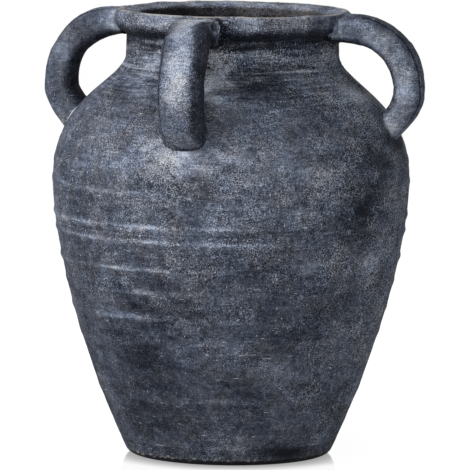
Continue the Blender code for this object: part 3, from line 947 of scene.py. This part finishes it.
def strapSize(h, share, k):
    # width or thickness along the strap: from the root's to the grip's, then to the foot's
    size = passage(h["upperSize"][k], h["gripSize"][k], share / h["rootShare"])
    return passage(size, h["lowerSize"][k], (share - 1.0 + h["footShare"]) / h["footShare"])


def jarSeat(height):
    # radius of the jar's outside at a height, the rim upright up to the round of its lip
    r = rimRoll
    over = np.clip(height - jar["height"] + r["lipRound"], 0.0, r["lipRound"])
    lipRadius = rimRadius - r["lipRound"] + np.sqrt(r["lipRound"] ** 2 - over**2)
    return np.where(height > r["seatFrom"], lipRadius, outerRadius(np.clip(height, 0.0, r["neckTo"])))


def clearOfJar(points):
    # how far each point stands outside the jar
    return np.hypot(points[..., 0], points[..., 1]) - jarSeat(points[..., 2])


def strapWash(h, share, unitSide, unitRise, height):
    # rubbed outer face + inner face (painted shade where it faces the jar) + sides + foot + root, with painted
    # shade under the root and on the right side turned from the light
    worn = h["rubbed"] + h["rubbedFoot"] * smooth(0.6, 0.86, share)
    worn += sum(change * bell(share - middle, half) for middle, half, change in h["rubbedAt"])
    faceOut = smooth(0.5, 0.95, unitRise) * smooth(0.95, 0.25, np.abs(unitSide - h["paleAt"]))
    wash = h["outer"] * worn * faceOut + h["inner"] * smooth(-0.3, -1.0, unitRise)
    wash += h["sides"][0] * smooth(-0.7, -0.97, unitSide)
    wash += h["sides"][1] * smooth(0.7 - 0.02 * h["twist"], 0.97 - 0.015 * h["twist"], unitSide)
    wash += h["footTone"] * smooth(0.8, 0.93, share) + h["rootTone"] * smooth(0.2, 0.05, share)
    # painted shade under the root
    wash += h["underRootShade"] * smooth(0.2955, 0.2905, height) * smooth(0.14, 0.06, share)
    # dark: painted shade on the right side turned from the light; wiped says where along the strap it lies
    darkFrom = 0.3 + 0.55 * smooth(0.26, 0.14, share) + 0.36 * smooth(0.26, 0.42, share)
    wiped = smooth(0.08, 0.22, share) * smooth(0.98, 0.9, share)
    return wash - h["dark"] * smooth(darkFrom, darkFrom + 0.25, unitSide) * wiped


def strapGrid(h, line):
    # a superellipse of the strap's width and thickness, turned by the twist and carried along the line, moved
    # along its normals by its marks + root lumps - scored lines - the crevice at the jar
    share = np.linspace(0.0, 1.0, len(line))[:, None]
    along = headings(line)
    outR, outZ = -along[:, 1][:, None], along[:, 0][:, None]
    a = oneTurn(h["around"])
    power = 2.0 / (h["squareness"] + h["rootSquare"] * smooth(0.35, 0.1, share) - 0.4 * smooth(0.75, 1.0, share))
    unitSide = np.sign(np.cos(a)) * np.abs(np.cos(a)) ** power
    unitRise = np.sign(np.sin(a)) * np.abs(np.sin(a)) ** power
    flat = h["wide"] * strapSize(h, share, 0) / 2 * unitSide * (1.0 - h["slim"] * smooth(0.42, 0.08, share))
    thick = (strapSize(h, share, 1) / 2 - rootSink(h, share)) * unitRise
    turned = np.radians(h["twist"]) * smooth(0.02, 0.25, share) * smooth(1.0, 0.8, share)
    c, n = np.cos(turned), np.sin(turned)
    onLeft, onRight = smooth(-0.1, -0.8, unitSide), smooth(0.1, 0.8, unitSide)
    web = smooth(0.16, 0.0, share) ** 2
    side = flat * c - thick * n + h["shift"] + h["lean"] * smooth(0.48, 0.04, share)
    side += h["flare"] * smooth(0.22, 0.05, share) * onRight
    side += web * (h["webs"][1] * onRight - h["webs"][0] * onLeft)
    rise = thick * c + flat * n
    place = np.stack((line[:, 0][:, None] + outR * rise, side, line[:, 1][:, None] + outZ * rise), axis=-1)
    outSide, outRise = unitSide * c - unitRise * n, unitRise * c + unitSide * n
    outward = unit(np.stack((outR * outRise, outSide, outZ * outRise), axis=-1))
    right, left = (bell(np.degrees(a) - corner, h["grooveHalf"]) for corner in h["scoreAt"])
    score = h["scores"][0] * right + h["scores"][1] * left
    score = score * smooth(0.1, 0.22, share) * smooth(1.0, 0.85, share)
    seed = h["seed"]
    marks, pits = handMarks(place, 0.018, (200 + seed, 220 + seed, 240 + seed), h)
    ragged = layeredNoise(place, 0.0046, 280 + seed, 2) * smooth(0.35, 0.8, unitSide) * smooth(0.27, 0.13, share)
    ragged = h["ragged"] * ragged
    crevice = bell(clearOfJar(place), h["creviceHalf"]) * np.where(share < 0.5, *h["crevices"])
    relief = marks - h["groove"] * score - h["crevice"] * crevice + ragged
    # painted highlight on raised lumps and painted shade in their hollows
    wash = strapWash(h, share, unitSide, unitRise, place[..., 2]) + h["raggedShading"] * ragged
    # creviceShade adds painted shade in the crevice at the jar
    wash += h["grooveTone"] * score + h["pitTone"] * pits + h["creviceShade"] * crevice
    wash += h["mottle"] * layeredNoise(place, 0.02, 260 + seed, 3)
    grit = h["grit"] * (1.0 + h["dark"] * smooth(0.3, 0.8, unitSide))
    return place + outward * relief[..., None], wash, grit


def turnAbout(points, degrees):
    # turned about the jar's middle line
    c, n = math.cos(math.radians(degrees)), math.sin(math.radians(degrees))
    x, y, z = points[..., 0], points[..., 1], points[..., 2]
    return np.stack((x * c - y * n, x * n + y * c, z), axis=-1)


def strapHandle(where, h):
    # the strap's skin with a pole in each buried end, turned to its place
    grid, wash, grit = strapGrid(h, strapLine(h))
    ends = np.array([grid[0].mean(axis=0), grid[-1].mean(axis=0)])
    points = turnAbout(np.concatenate((grid.reshape(-1, 3), ends)), h["turn"])
    tones = {"wash": np.append(wash, (0.0, 0.0)), "grit": np.append(grit, (1.0, 1.0))}
    faces = cappedFaces(*grid.shape[:2], True)
    clayPiece("handle" + where.title(), points, faces, tones, handleFinish, "handle_" + where)
    return grid


def jointLoop(grid, upper):
    # where the strap's skin crosses the jar's outside: straight between the last point inside the jar
    # and the first that stands clear
    skin = grid if upper else grid[::-1]
    clear = clearOfJar(skin)
    row = np.clip(np.argmax(clear > 0.0, axis=0), 1, None)
    column = np.arange(skin.shape[1])
    before, after = clear[row - 1, column], clear[row, column]
    t = np.clip(before / (before - after + 1e-12), 0.0, 1.0)[:, None]
    return skin[row - 1, column] * (1.0 - t) + skin[row, column] * t


# underRootShade is painted shade on the slip under the strap's root
slipRoll = dict(seeds={"upper": 300, "lower": 320}, steps=160, around=12, uneven=0.5, mottle=0.3, underRootShade=-0.9)


def slipBead(where, level, grid, h, b):
    # a small round carried along the joint loop, thick and thin by noise, heavier right of the root if left so
    upper = level == "upper"
    end, seed = 0 if upper else 1, b["seeds"][level] + h["seed"]
    loop = jointLoop(grid, upper)
    loop = evenly(np.concatenate((loop, loop[:1])), b["steps"] + 1)[:-1]
    loop = (np.roll(loop, 1, axis=0) + loop + np.roll(loop, -1, axis=0)) / 3.0
    along = unit(np.roll(loop, -1, axis=0) - np.roll(loop, 1, axis=0))
    away = loop - loop.mean(axis=0)
    away = unit(away - (away * along).sum(axis=1)[:, None] * along)
    over = np.cross(along, away)
    a = oneTurn(b["around"])[..., None]
    heavy = h["slipHeavy"] * smooth(0.004, 0.011, loop[:, 1]) if upper else 0.0
    heavy = heavy * np.clip(0.6 + 0.9 * unitNoise(loop, 0.0045, seed + 9), 0.0, 1.4)
    thick = h["beads"][end] * (1.0 + heavy + b["uneven"] * unitNoise(loop, 0.006, seed))[:, None, None]
    ring = np.cos(a) * away[:, None, :] + np.sin(a) * over[:, None, :]
    points = turnAbout(loop[:, None, :] + thick * ring, h["turn"])
    faces = wrapFaces(*points.shape[:2], True)[:, ::-1].tolist()
    left = 1.0 - h["slipSide"] * smooth(0.0125, 0.0075, loop[:, 1])[:, None]
    wash = h["slipTone"][end] * left + b["mottle"] * layeredNoise(points, 0.009, seed + 5, 2)
    # painted shade under the root
    wash += b["underRootShade"] * smooth(0.297, 0.2925, points[..., 2]) * upper
    tones = {"wash": wash, "grit": np.full_like(wash, h["grit"] ** 2)}
    name = "slip" + level.title() + where.title()
    clayPiece(name, points, faces, tones, slipFinish, f"slip_{level}_{where}")


for where, pulled in straps.items():
    pulled = {**strap, **pulled}
    skin = strapHandle(where, pulled)
    for level in ("upper", "lower"):
        slipBead(where, level, skin, pulled, slipRoll)
print("straps and their slip made")

# floor, world and lamps

studio = dict(
    floorSpan=3.0,
    floorLines=9,
    floorPaint={"Base Color": (0.92, 0.92, 0.92, 1.0), "Roughness": 0.6, "Specular IOR Level": 0.0},
    floorMirror={"Color": (1.0, 1.0, 1.0, 1.0), "Roughness": 0.1},
    floorWhite={"Strength": 1.26},
    floorGlow=0.74,  # share of that white in what is seen straight on
    floorGloss=(0.62, 0.11),  # share of the mirror under the jar and away from it
    glossEdge=(0.066, 0.098),  # distances from the middle where those two begin
    world={"Color": (0.93, 0.96, 1.0, 1.0), "Strength": 0.22},
    worldSeen={"Color": (1.0, 1.0, 1.0, 1.0)},
)


def straightRays(tree):
    # 1 for what is seen straight on, in a reflection or through glass, 0 for light falling on the clay
    rays = addNode(tree, "LightPath", {})
    last = rays["Is Camera Ray"]
    for kind in ("Is Glossy Ray", "Is Transmission Ray"):
        last = addNode(tree, "Math", {0: last, 1: rays[kind]}, operation="MAXIMUM")[0]
    return last


def layFloor(s):
    # a level square at the height the jar rests on; white and then a mirror are blended over its paint
    # where it is seen straight on
    spread = np.linspace(-s["floorSpan"], s["floorSpan"], s["floorLines"])
    x, y = np.meshgrid(spread, spread)
    points = np.stack((x, y, np.zeros_like(x)), axis=-1).reshape(-1, 3)
    index = np.arange(x.size).reshape(x.shape)
    quads = np.stack((index[:-1, :-1], index[:-1, 1:], index[1:, 1:], index[1:, :-1]), axis=-1).reshape(-1, 4)
    mesh = bpy.data.meshes.new("paleFloor")
    mesh.from_pydata(points.tolist(), [], quads.tolist())
    paint = bpy.data.materials.new("paleFloorPaint")
    paint.use_nodes = True
    tree = paint.node_tree
    shader = tree.nodes["Principled BSDF"]
    fill(tree, shader, s["floorPaint"])
    mirror = addNode(tree, "BsdfGlossy", s["floorMirror"])["BSDF"]
    white = addNode(tree, "Emission", s["floorWhite"])["Emission"]
    place = addNode(tree, "TexCoord", {})["Object"]
    far = addNode(tree, "VectorMath", {0: place}, operation="LENGTH")["Value"]
    fade = mapped(tree, far, s["glossEdge"], s["floorGloss"], "SMOOTHSTEP")
    seen = straightRays(tree)
    last = shader.outputs["BSDF"]
    for layer, share in ((white, s["floorGlow"]), (mirror, fade)):
        shown = addNode(tree, "Math", {0: seen, 1: share}, operation="MULTIPLY")[0]
        last = addNode(tree, "MixShader", {"Fac": shown, 1: last, 2: layer})["Shader"]
    fill(tree, tree.nodes["Material Output"], {"Surface": last})
    mesh.materials.append(paint)
    linked("paleFloor", mesh)


def lightWorld(s):
    # an even light all round, seen as white by the camera and in reflections
    world = bpy.data.worlds.new("paleStudio")
    world.use_nodes = True
    bpy.context.scene.world = world
    tree = world.node_tree
    light = tree.nodes["Background"]
    fill(tree, light, s["world"])
    white = addNode(tree, "Background", s["worldSeen"])["Background"]
    sockets = {"Fac": straightRays(tree), 1: light.outputs["Background"], 2: white}
    fill(tree, tree.nodes["World Output"], {"Surface": addNode(tree, "MixShader", sockets)["Shader"]})


# name: where it stands, where it points, size, power
lamps = {
    "keyLamp": ((-1.3, -1.39, 1.26), (0.0, 0.0, 0.2), 0.4, 29.0),
    "frontLamp": ((0.2, -1.95, 0.9), (0.0, 0.0, 0.15), 1.4, 9.5),
    "topLamp": ((0.1, 0.0, 2.0), (0.0, 0.0, 0.2), 1.2, 8.0),
    "rightLamp": ((1.5, -1.4, 0.7), (0.0, 0.0, 0.15), 1.2, 2.0),
}


def hangLamps(wanted):
    # a round lamp at each place, its own -Z turned along the line from there to what it points at
    for name, (stand, aim, size, power) in wanted.items():
        lamp = bpy.data.lights.new(name, "AREA")
        lamp.shape = "DISK"
        lamp.size = size
        lamp.energy = power
        hung = linked(name, lamp)
        hung.location = stand
        hung.rotation_euler = (Vector(aim) - Vector(stand)).to_track_quat("-Z", "Y").to_euler()


layFloor(studio)
lightWorld(studio)
hangLamps(lamps)
print("studio lit")
